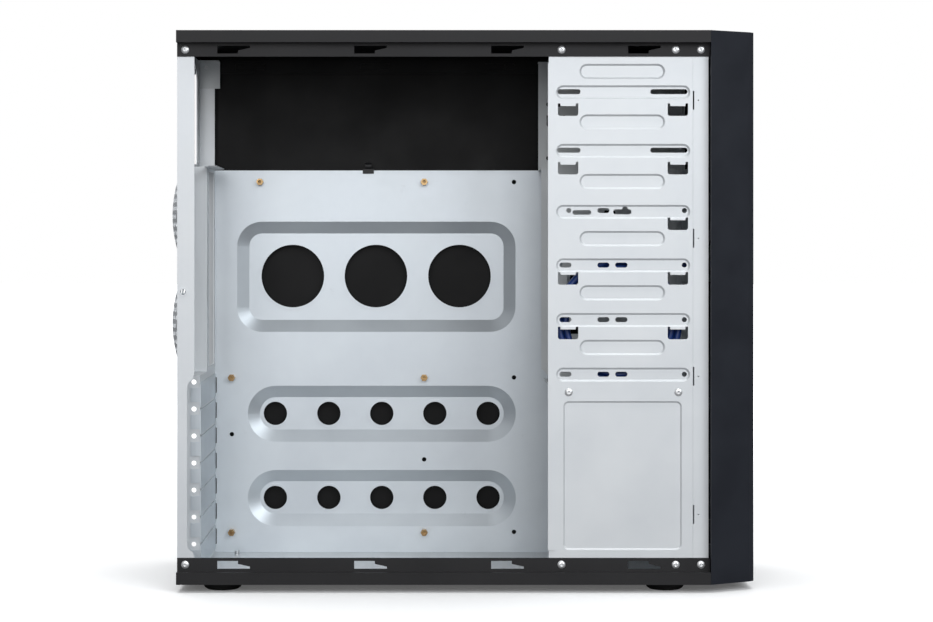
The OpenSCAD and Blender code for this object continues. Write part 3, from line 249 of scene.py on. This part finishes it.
def smoothed(points, each):
    # Catmull-Rom through the points
    out = []
    for i in range(len(points) - 1):
        p0, p1 = points[max(i - 1, 0)], points[i]
        p2, p3 = points[i + 1], points[min(i + 2, len(points) - 1)]
        for s in range(each):
            t = s / each
            out.append(0.5 * ((2 * p1) + (p2 - p0) * t + (2 * p0 - 5 * p1 + 4 * p2 - p3) * t * t
                              + (3 * p1 - p0 - 3 * p2 + p3) * t ** 3))
    out.append(points[-1])
    return out


def addCable(setup):
    path = cablePath(setup)
    curve = bpy.data.curves.new("frontCable", "CURVE")
    curve.dimensions = "3D"
    curve.bevel_depth = setup["diameter"] / 2
    curve.bevel_resolution = 3
    curve.use_fill_caps = True
    spline = curve.splines.new("POLY")
    spline.points.add(len(path) - 1)
    for point, place in zip(spline.points, path):
        point.co = (*place, 1)
    spline.use_smooth = True
    line = bpy.data.objects.new("cableLine", curve)
    scene.collection.objects.link(line)
    cable = finalPiece(line, "frontCable")
    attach(cable, "chassis")
    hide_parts("cable_lead", "cable_coil", "cable_tail")
    return cable


frontCable = addCable(cableSetup)
print("stage 2: camera and cable made")


def newMaterial(name):
    material = bpy.data.materials.new(name)
    material.use_nodes = True
    material.node_tree.nodes.clear()
    return material, material.node_tree


class Sketch:
    # short calls for wiring a node tree
    def __init__(self, tree):
        self.tree = tree

    def add(self, kind, **values):
        node = self.tree.nodes.new(kind)
        for key, value in values.items():
            if hasattr(node, key):
                setattr(node, key, value)
            else:
                node.inputs[key].default_value = value
        return node

    def link(self, source, target):
        self.tree.links.new(source, target)

    def coords(self, stretch=(1, 1, 1)):
        place = self.add("ShaderNodeTexCoord")
        mapping = self.add("ShaderNodeMapping")
        mapping.inputs["Scale"].default_value = stretch
        self.link(place.outputs["Object"], mapping.inputs["Vector"])
        return mapping.outputs["Vector"]

    def noise(self, vector, scale, detail=4.0, rough=0.55):
        node = self.add("ShaderNodeTexNoise")
        node.inputs["Scale"].default_value = scale
        node.inputs["Detail"].default_value = detail
        node.inputs["Roughness"].default_value = rough
        self.link(vector, node.inputs["Vector"])
        return node.outputs["Fac"]

    def ramp(self, fac, low, high, start=0.3, end=0.7):
        node = self.add("ShaderNodeValToRGB")
        node.color_ramp.elements[0].position = start
        node.color_ramp.elements[1].position = end
        node.color_ramp.elements[0].color = (*low, 1)
        node.color_ramp.elements[1].color = (*high, 1)
        self.link(fac, node.inputs["Fac"])
        return node.outputs["Color"]

    def span(self, fac, low, high, start=0.3, end=0.7):
        node = self.add("ShaderNodeMapRange")
        for key, value in (("From Min", start), ("From Max", end), ("To Min", low), ("To Max", high)):
            node.inputs[key].default_value = value
        self.link(fac, node.inputs["Value"])
        return node.outputs["Result"]

    def mix(self, fac, first, second):
        node = self.add("ShaderNodeMix")
        node.data_type = "RGBA"
        if isinstance(fac, float):
            node.inputs[0].default_value = fac
        else:
            self.link(fac, node.inputs[0])
        for slot, value in ((6, first), (7, second)):
            if isinstance(value, tuple):
                node.inputs[slot].default_value = (*value, 1)
            else:
                self.link(value, node.inputs[slot])
        return node.outputs[2]

    def bump(self, height, strength, distance, normal=None):
        node = self.add("ShaderNodeBump")
        node.inputs["Strength"].default_value = strength
        node.inputs["Distance"].default_value = distance
        self.link(height, node.inputs["Height"])
        if normal is not None:
            self.link(normal, node.inputs["Normal"])
        return node.outputs["Normal"]

    def surface(self, colour, rough, normal=None, **fixed):
        shader = self.add("ShaderNodeBsdfPrincipled")
        for key, value in fixed.items():
            shader.inputs[key.replace("_", " ")].default_value = value
        for source, name in ((colour, "Base Color"), (rough, "Roughness")):
            if isinstance(source, tuple):
                shader.inputs[name].default_value = (*source, 1)
            elif isinstance(source, float):
                shader.inputs[name].default_value = source
            else:
                self.link(source, shader.inputs[name])
        if normal is not None:
            self.link(normal, shader.inputs["Normal"])
        out = self.add("ShaderNodeOutputMaterial")
        self.link(shader.outputs["BSDF"], out.inputs["Surface"])
        return shader


steelLooks = {
    # plating colour, darker patches, brush strength and direction, how metallic
    "zinc_steel": {"light": (0.72, 0.742, 0.758), "dark": (0.665, 0.69, 0.712), "brush": (1, 1, 30),
                   "rough": (0.40, 0.52), "metal": 0.35, "smudge": (0.60, 0.62, 0.64)},
    "tray_steel": {"light": (0.655, 0.70, 0.735), "dark": (0.59, 0.633, 0.672), "brush": (30, 1, 1),
                   "rough": (0.38, 0.48), "metal": 0.72, "smudge": (0.50, 0.53, 0.56)},
    "cage_steel": {"light": (0.62, 0.645, 0.65), "dark": (0.55, 0.575, 0.585), "brush": (1, 1, 30),
                   "rough": (0.40, 0.54), "metal": 0.40, "smudge": (0.46, 0.48, 0.49)},
}


platingScale = {"clouds": 16, "grain": 220, "marks": 55, "crystals": 420}


def platedSteel(name, look):
    material, tree = newMaterial(name)
    s = Sketch(tree)
    plain = s.coords()
    rolled = s.coords(look["brush"])
    clouds = s.noise(plain, platingScale["clouds"], 3)
    grain = s.noise(rolled, platingScale["grain"], 2, 0.6)
    marks = s.noise(plain, platingScale["marks"], 6, 0.72)
    # crystals of the zinc layer, barely visible
    crystals = s.add("ShaderNodeTexVoronoi")
    crystals.inputs["Scale"].default_value = platingScale["crystals"]
    s.link(plain, crystals.inputs["Vector"])
    tint = s.ramp(clouds, look["dark"], look["light"], 0.35, 0.65)
    fleck = s.span(crystals.outputs["Color"], 0.0, 0.10, 0.0, 1.0)
    tint = s.mix(fleck, tint, look["light"])
    rub = s.span(marks, 0.0, 0.5, 0.66, 0.80)
    tint = s.mix(rub, tint, look["smudge"])
    rough = s.span(s.mix(0.5, grain, clouds), look["rough"][0], look["rough"][1], 0.35, 0.65)
    normal = s.bump(grain, 0.10, 0.0001, s.bump(clouds, 0.05, 0.0004))
    s.surface(tint, rough, normal, Metallic=look["metal"])
    return material


paintLook = {
    # full coat, and the darker coat of the faces within the case, which is painted shade
    "outer": (0.024, 0.0235, 0.0245), "inner": (0.0055, 0.0055, 0.0058),
    "worn": (0.040, 0.040, 0.042), "rough": (0.40, 0.52), "specular": 0.16,
    "peel": 900, "clouds": 22, "dust": 140, "waves": 120,
    # painted shade: the coat is darker behind the near lips, and this far in from the outer faces
    "innerFrom": -0.0815, "innerFade": 0.0003, "skin": 0.0004, "skinFade": 0.0002,
}


def powderCoat(name, look):
    material, tree = newMaterial(name)
    s = Sketch(tree)
    plain = s.coords()
    peel = s.noise(plain, look["peel"], 3, 0.6)
    clouds = s.noise(plain, look["clouds"], 4)
    dust = s.noise(plain, look["dust"], 8, 0.75)
    tint = s.ramp(clouds, look["outer"], tuple(c * 1.18 for c in look["outer"]), 0.3, 0.7)
    tint = s.mix(s.span(dust, 0.0, 0.55, 0.62, 0.80), tint, look["worn"])
    place = s.add("ShaderNodeSeparateXYZ")
    s.link(plain, place.inputs[0])
    high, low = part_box("top_cover")[1].z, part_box("bottom_cover")[0].z
    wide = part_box("side_panel")[1].y
    start = look["innerFrom"]
    shadedFaces = s.span(place.outputs["Y"], 0.0, 1.0, start, start + look["innerFade"])
    for axis, face, sign in (("Y", wide, -1), ("Z", high, -1), ("Z", low, 1)):
        edge = face + sign * look["skin"]
        within = s.span(place.outputs[axis], 0.0, 1.0, edge, edge + sign * look["skinFade"])
        both = s.add("ShaderNodeMath", operation="MULTIPLY")
        s.link(shadedFaces, both.inputs[0])
        s.link(within, both.inputs[1])
        shadedFaces = both.outputs[0]
    # painted shade: faces within the case get the darker coat colour
    tint = s.mix(shadedFaces, tint, look["inner"])
    rough = s.span(clouds, *look["rough"])
    waves = s.noise(plain, look["waves"], 2)
    normal = s.bump(peel, 0.22, 0.0001, s.bump(waves, 0.10, 0.0002))
    s.surface(tint, rough, normal, Metallic=0.0, Specular_IOR_Level=look["specular"])
    return material


plasticLooks = {
    "bezel_plastic": {"colour": (0.0120, 0.0140, 0.0200), "pale": (0.0155, 0.0180, 0.0250), "grain": 1500,
                      "rough": (0.38, 0.50), "bump": 0.22, "specular": 0.32},
    "button_plastic": {"colour": (0.085, 0.09, 0.10), "pale": (0.115, 0.12, 0.13), "grain": 2400,
                       "rough": (0.22, 0.30), "bump": 0.05, "specular": 0.5},
    "black_plastic": {"colour": (0.012, 0.012, 0.013), "pale": (0.022, 0.022, 0.024), "grain": 1200,
                      "rough": (0.42, 0.56), "bump": 0.15, "specular": 0.4},
    "white_plastic": {"colour": (0.70, 0.68, 0.62), "pale": (0.80, 0.785, 0.73), "grain": 1600,
                      "rough": (0.34, 0.46), "bump": 0.08, "specular": 0.5},
    "black_rubber": {"colour": (0.010, 0.010, 0.010), "pale": (0.024, 0.024, 0.023), "grain": 700,
                     "rough": (0.62, 0.82), "bump": 0.35, "specular": 0.3},
    "blue_cable": {"colour": (0.006, 0.030, 0.155), "pale": (0.010, 0.048, 0.230), "grain": 900,
                   "rough": (0.34, 0.46), "bump": 0.12, "specular": 0.5},
}


mouldedScale = {"clouds": 30, "handling": 95}
rubbedPaler = 1.7


def moulded(name, look):
    material, tree = newMaterial(name)
    s = Sketch(tree)
    plain = s.coords()
    grain = s.noise(plain, look["grain"], 4, 0.7)
    clouds = s.noise(plain, mouldedScale["clouds"], 5)
    handling = s.noise(plain, mouldedScale["handling"], 7, 0.72)
    tint = s.ramp(clouds, look["colour"], look["pale"], 0.35, 0.65)
    rubbed = tuple(min(1, c * rubbedPaler) for c in look["colour"])
    tint = s.mix(s.span(handling, 0.0, 0.4, 0.64, 0.80), tint, rubbed)
    rough = s.span(s.mix(0.5, grain, clouds), look["rough"][0], look["rough"][1], 0.35, 0.65)
    normal = s.bump(grain, look["bump"], 0.0001)
    s.surface(tint, rough, normal, Metallic=0.0, Specular_IOR_Level=look["specular"])
    return material


metalLooks = {
    "bright_rivet": {"colour": (0.86, 0.865, 0.87), "dull": (0.68, 0.69, 0.70),
                     "rough": (0.24, 0.38), "metal": 0.75},
    "screw_steel": {"colour": (0.64, 0.645, 0.65), "dull": (0.50, 0.50, 0.51),
                    "rough": (0.22, 0.34), "metal": 1.0},
    "brass": {"colour": (0.40, 0.27, 0.13), "dull": (0.26, 0.17, 0.09),
              "rough": (0.24, 0.38), "metal": 1.0},
    "port_shell": {"colour": (0.66, 0.67, 0.69), "dull": (0.52, 0.53, 0.55),
                   "rough": (0.20, 0.32), "metal": 1.0},
    "gold_contact": {"colour": (0.83, 0.62, 0.24), "dull": (0.70, 0.50, 0.18),
                     "rough": (0.18, 0.26), "metal": 1.0},
}


turnedScale = {"fine": 1400, "clouds": 180}


def turnedMetal(name, look):
    material, tree = newMaterial(name)
    s = Sketch(tree)
    plain = s.coords()
    fine = s.noise(plain, turnedScale["fine"], 3, 0.6)
    clouds = s.noise(plain, turnedScale["clouds"], 5, 0.65)
    tint = s.ramp(clouds, look["dull"], look["colour"], 0.32, 0.56)
    rough = s.span(clouds, look["rough"][1], look["rough"][0])
    s.surface(tint, rough, s.bump(fine, 0.12, 0.00005), Metallic=look["metal"])
    return material


boardLook = {"mask": (0.010, 0.105, 0.045), "track": (0.022, 0.165, 0.075), "pitch": 0.0016}


def solderMask(name, look):
    material, tree = newMaterial(name)
    s = Sketch(tree)
    plain = s.coords((1, 1 / look["pitch"], 1 / look["pitch"]))
    blocks = s.add("ShaderNodeTexVoronoi", distance="MANHATTAN", feature="F2")
    blocks.inputs["Scale"].default_value = 0.22
    s.link(plain, blocks.inputs["Vector"])
    lanes = s.add("ShaderNodeTexWave", wave_profile="SIN", bands_direction="Y")
    lanes.inputs["Scale"].default_value = 0.3
    s.link(plain, lanes.inputs["Vector"])
    tracks = s.ramp(lanes.outputs["Fac"], look["mask"], look["track"], 0.62, 0.70)
    tint = s.mix(s.span(blocks.outputs["Distance"], 0.0, 1.0, 1.2, 1.35), look["mask"], tracks)
    s.surface(tint, s.span(s.noise(s.coords(), 300), 0.24, 0.36), s.bump(lanes.outputs["Fac"], 0.15, 0.00003),
              Metallic=0.0, Specular_IOR_Level=0.5)
    return material


clearLook = {"colour": (0.80, 0.86, 0.92), "ior": 1.49}


def clearPlastic(name, look):
    material, tree = newMaterial(name)
    s = Sketch(tree)
    cloud = s.noise(s.coords(), 500, 4)
    tint = s.ramp(cloud, tuple(c * 0.94 for c in look["colour"]), look["colour"])
    s.surface(tint, s.span(cloud, 0.12, 0.22), s.bump(cloud, 0.05, 0.00005), Metallic=0.0, IOR=look["ior"],
              Transmission_Weight=0.55)
    return material


materials = {name: platedSteel(name, look) for name, look in steelLooks.items()}
materials["black_steel"] = powderCoat("black_steel", paintLook)
materials.update({name: moulded(name, look) for name, look in plasticLooks.items()})
materials.update({name: turnedMetal(name, look) for name, look in metalLooks.items()})
materials["circuit_board"] = solderMask("circuit_board", boardLook)
materials["clear_plastic"] = clearPlastic("clear_plastic", clearLook)


def dress(obj, name):
    obj.data.materials.clear()
    obj.data.materials.append(materials[name])


slotOf = {part["node"]: part["material_slot"] for part in frame["record"]["subparts"]}
for nodeName, obj in nodes.items():
    for holder in obj.material_slots:
        holder.material = materials[slotOf[nodeName]]
    if not obj.material_slots:
        obj.data.materials.append(materials[slotOf[nodeName]])
dress(frontCable, "blue_cable")
print("stage 3: finishes given to", len(slotOf), "nodes")


frontSetup = {
    "front_bezel": ("bezelShell", "chassis", 0.0006),
    "bay_cover_upper": ("bayCoverUpper", "cover_upper", 0.0004),
    "bay_cover_middle": ("bayCoverMiddle", "cover_middle", 0.0004),
    "bay_cover_lower": ("bayCoverLower", "cover_lower", 0.0004),
    "power_button": ("powerButton", "power", 0.0005),
    "reset_button": ("resetButton", "reset", 0.0004),
}
for nodeName, (pieceName, bodyName, width) in frontSetup.items():
    piece = bevelled(mergedCopy(nodeName, pieceName), width)
    dress(piece, slotOf[nodeName])
    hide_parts(nodeName)
    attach(piece, bodyName)
print("stage 4: plastic front bevelled")


class Tree:
    # short calls for a geometry node tree
    def __init__(self, name, inputs):
        self.tree = bpy.data.node_groups.new(name, "GeometryNodeTree")
        self.tree.interface.new_socket("Geometry", in_out="INPUT", socket_type="NodeSocketGeometry")
        for label, kind, value in inputs:
            socket = self.tree.interface.new_socket(label, in_out="INPUT", socket_type=kind)
            if value is not None:
                socket.default_value = value
        self.tree.interface.new_socket("Geometry", in_out="OUTPUT", socket_type="NodeSocketGeometry")
        self.source = self.tree.nodes.new("NodeGroupInput")
        self.sink = self.tree.nodes.new("NodeGroupOutput")

    def add(self, kind, links=(), **values):
        node = self.tree.nodes.new(kind)
        for key, value in values.items():
            if hasattr(node, key):
                setattr(node, key, value)
            else:
                node.inputs[key.replace("_", " ")].default_value = value
        for socket, source in dict(links).items():
            self.tree.links.new(source, node.inputs[socket])
        return node

    def calc(self, operation, first, second):
        node = self.tree.nodes.new("ShaderNodeMath")
        node.operation = operation
        for slot, value in ((0, first), (1, second)):
            if isinstance(value, (int, float)):
                node.inputs[slot].default_value = value
            else:
                self.tree.links.new(value, node.inputs[slot])
        return node.outputs[0]

    def close(self, geometry):
        real = self.add("GeometryNodeRealizeInstances", {"Geometry": geometry})
        painted = self.add("GeometryNodeSetMaterial", {"Geometry": real.outputs[0],
                                                       "Material": self.source.outputs["Material"]})
        self.tree.links.new(painted.outputs[0], self.sink.inputs[0])


def setInputs(modifier, values):
    # inputs are set by their identifiers
    for item in modifier.node_group.interface.items_tree:
        if item.item_type == "SOCKET" and item.in_out == "INPUT" and item.name in values:
            modifier[item.identifier] = values[item.name]


def grown(name, tree, points, values, body, replaced=()):
    carrier = meshObject(name + "Points", points, [])
    modifier = carrier.modifiers.new("grow", "NODES")
    modifier.node_group = tree
    setInputs(modifier, values)
    piece = finalPiece(carrier, name)
    if replaced:
        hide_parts(*replaced)
    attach(piece, body)
    return piece


rivetSetup = {"headHeight": 0.0012, "mandrelRadius": 0.0008, "mandrelSunk": 0.0005}


def rivetTree(setup, radius):
    t = Tree("popRivet", [("Head Radius", "NodeSocketFloat", radius),
                          ("Head Height", "NodeSocketFloat", setup["headHeight"]),
                          ("Mandrel Radius", "NodeSocketFloat", setup["mandrelRadius"]),
                          ("Mandrel Sunk", "NodeSocketFloat", setup["mandrelSunk"]),
                          ("Material", "NodeSocketMaterial", None)])
    src = t.source.outputs
    ball = t.add("GeometryNodeMeshUVSphere", {"Radius": src["Head Radius"]}, Segments=28, Rings=14)
    flat = t.calc("DIVIDE", src["Head Height"], src["Head Radius"])
    size = t.add("ShaderNodeCombineXYZ", {"Z": flat}, X=1.0, Y=1.0)
    dome = t.add("GeometryNodeTransform", {"Geometry": ball.outputs[0], "Scale": size.outputs[0]})
    drill = t.add("GeometryNodeMeshCylinder", {"Radius": src["Mandrel Radius"]}, Vertices=20, Depth=0.01)
    bored = t.add("GeometryNodeMeshBoolean", {"Mesh 1": dome.outputs[0], "Mesh 2": drill.outputs[0]},
                  operation="DIFFERENCE", solver="EXACT")
    deep = t.calc("MULTIPLY", t.calc("SUBTRACT", src["Head Height"], src["Mandrel Sunk"]), 2.0)
    pin = t.add("GeometryNodeMeshCylinder", {"Radius": src["Mandrel Radius"], "Depth": deep}, Vertices=20)
    both = t.add("GeometryNodeJoinGeometry")
    t.tree.links.new(bored.outputs[0], both.inputs[0])
    t.tree.links.new(pin.outputs[0], both.inputs[0])
    smooth = t.add("GeometryNodeSetShadeSmooth", {"Geometry": both.outputs[0]})
    turned = t.add("GeometryNodeTransform", {"Geometry": smooth.outputs[0]}, Rotation=(math.pi / 2, 0, 0))
    placed = t.add("GeometryNodeInstanceOnPoints", {"Points": src["Geometry"], "Instance": turned.outputs[0]})
    t.close(placed.outputs[0])
    return t.tree


def addRivets(setup):
    points = []
    # each rivet's head shows on the side where its flange stands out
    for node, side in (("near_rivets", -1), ("far_rivets", 1), ("cage_rivets", -1)):
        for low, high in solidsOf(node):
            centre = (low + high) / 2
            face = low.y + setup["headHeight"] if side < 0 else high.y - setup["headHeight"]
            points.append((centre.x, face, centre.z))
            radius = (high.x - low.x) / 2
    return grown("popRivets", rivetTree(setup, radius), points,
                 {"Head Radius": radius, "Head Height": setup["headHeight"],
                  "Mandrel Radius": setup["mandrelRadius"], "Mandrel Sunk": setup["mandrelSunk"],
                  "Material": materials["bright_rivet"]},
                 "chassis", ("near_rivets", "far_rivets", "cage_rivets"))


addRivets(rivetSetup)

contactSetup = {
    "pitch": 0.0025, "size": (0.0085, 0.0011, 0.00015), "perPort": 4,
    "fromMouth": 0.0065, "raised": 0.0003,
}


def contactTree(size):
    t = Tree("portContact", [("Size", "NodeSocketVector", size),
                             ("Material", "NodeSocketMaterial", None)])
    src = t.source.outputs
    strip = t.add("GeometryNodeMeshCube", {"Size": src["Size"]})
    placed = t.add("GeometryNodeInstanceOnPoints", {"Points": src["Geometry"], "Instance": strip.outputs[0]})
    t.close(placed.outputs[0])
    return t.tree


def addContacts(setup):
    points = []
    for low, high in solidsOf("usb_ports"):
        centre = (low + high) / 2
        for i in range(setup["perPort"]):
            shift = (i - (setup["perPort"] - 1) / 2) * setup["pitch"]
            points.append((high.x - setup["fromMouth"], centre.y + shift, centre.z + setup["raised"]))
    piece = grown("portContacts", contactTree(setup["size"]), points,
                  {"Size": setup["size"], "Material": materials["gold_contact"]}, "chassis")


addContacts(contactSetup)
print("stage 5: rivets and contacts grown")


floorSetup = {
    "half": 14, "clouds": 3, "rough": 0.9, "specular": 0.1,
    # the case gets a dimmer bounce from the floor than the camera sees
    "pale": (0.93, 0.93, 0.93), "seenByObject": (0.15, 0.15, 0.155), "darkest": 0.985,
    "glow": (0.10, 1.0), "fade": (0.45, 1.7),
}


def addFloor(setup):
    h = setup["half"]
    floor = meshObject("paleFloor", [(-h, -h, 0), (h, -h, 0), (h, h, 0), (-h, h, 0)], [(0, 1, 2, 3)])
    material, tree = newMaterial("paleFloor")
    s = Sketch(tree)
    place = s.coords()
    seen = s.add("ShaderNodeLightPath").outputs["Is Camera Ray"]
    darkest = tuple(c * setup["darkest"] for c in setup["pale"])
    pale = s.ramp(s.noise(place, setup["clouds"]), darkest, setup["pale"])
    distance = s.add("ShaderNodeVectorMath", operation="LENGTH")
    s.link(place, distance.inputs[0])
    glow = s.span(distance.outputs["Value"], *setup["glow"], *setup["fade"])
    shown = s.add("ShaderNodeMath", operation="MULTIPLY")
    s.link(glow, shown.inputs[0])
    s.link(seen, shown.inputs[1])
    colour = s.mix(seen, setup["seenByObject"], pale)
    shader = s.surface(colour, setup["rough"], None, Specular_IOR_Level=setup["specular"])
    shader.inputs["Emission Color"].default_value = (1, 1, 1, 1)
    s.link(shown.outputs[0], shader.inputs["Emission Strength"])
    floor.data.materials.append(material)


lightSetup = {
    # place, size, power, colour; each points at the middle of the case
    "keyLight": ((1.20, -2.0, 1.15), 1.1, 21, (0.93, 0.97, 1.0)),
    "frontLight": ((-0.25, -2.8, 0.95), 1.8, 26, (0.99, 0.99, 1.0)),
    "topLight": ((0.0, 0.2, 2.2), 2.2, 46, (1.0, 1.0, 1.0)),
}


def addLights(setup):
    low, high = cadBox
    middle = (low + high) / 2
    for name, (place, size, power, colour) in setup.items():
        data = bpy.data.lights.new(name, "AREA")
        data.shape = "SQUARE"
        data.size = size
        data.energy = power
        data.color = colour
        lamp = linked(name, data)
        lamp.location = place
        lamp.rotation_euler = (middle - Vector(place)).to_track_quat("-Z", "Y").to_euler()


worldSetup = {
    "sky": (0.42, 0.43, 0.44), "ground": (0.16, 0.16, 0.165), "skyFrom": 0.0, "skyTo": 0.35,
    "backdrop": (1.0, 1.0, 1.0),  # seen by the camera only
}


def addWorld(setup):
    world = bpy.data.worlds.new("studio")
    scene.world = world
    world.use_nodes = True
    s = Sketch(world.node_tree)
    direction = s.add("ShaderNodeTexCoord").outputs["Generated"]
    parts = s.add("ShaderNodeSeparateXYZ")
    s.link(direction, parts.inputs[0])
    glow = s.ramp(parts.outputs["Z"], setup["ground"], setup["sky"], setup["skyFrom"], setup["skyTo"])
    seen = s.add("ShaderNodeLightPath").outputs["Is Camera Ray"]
    sky = world.node_tree.nodes["Background"]
    s.link(s.mix(seen, glow, setup["backdrop"]), sky.inputs["Color"])


addFloor(floorSetup)
addLights(lightSetup)
addWorld(worldSetup)
print("stage 6: floor and light")
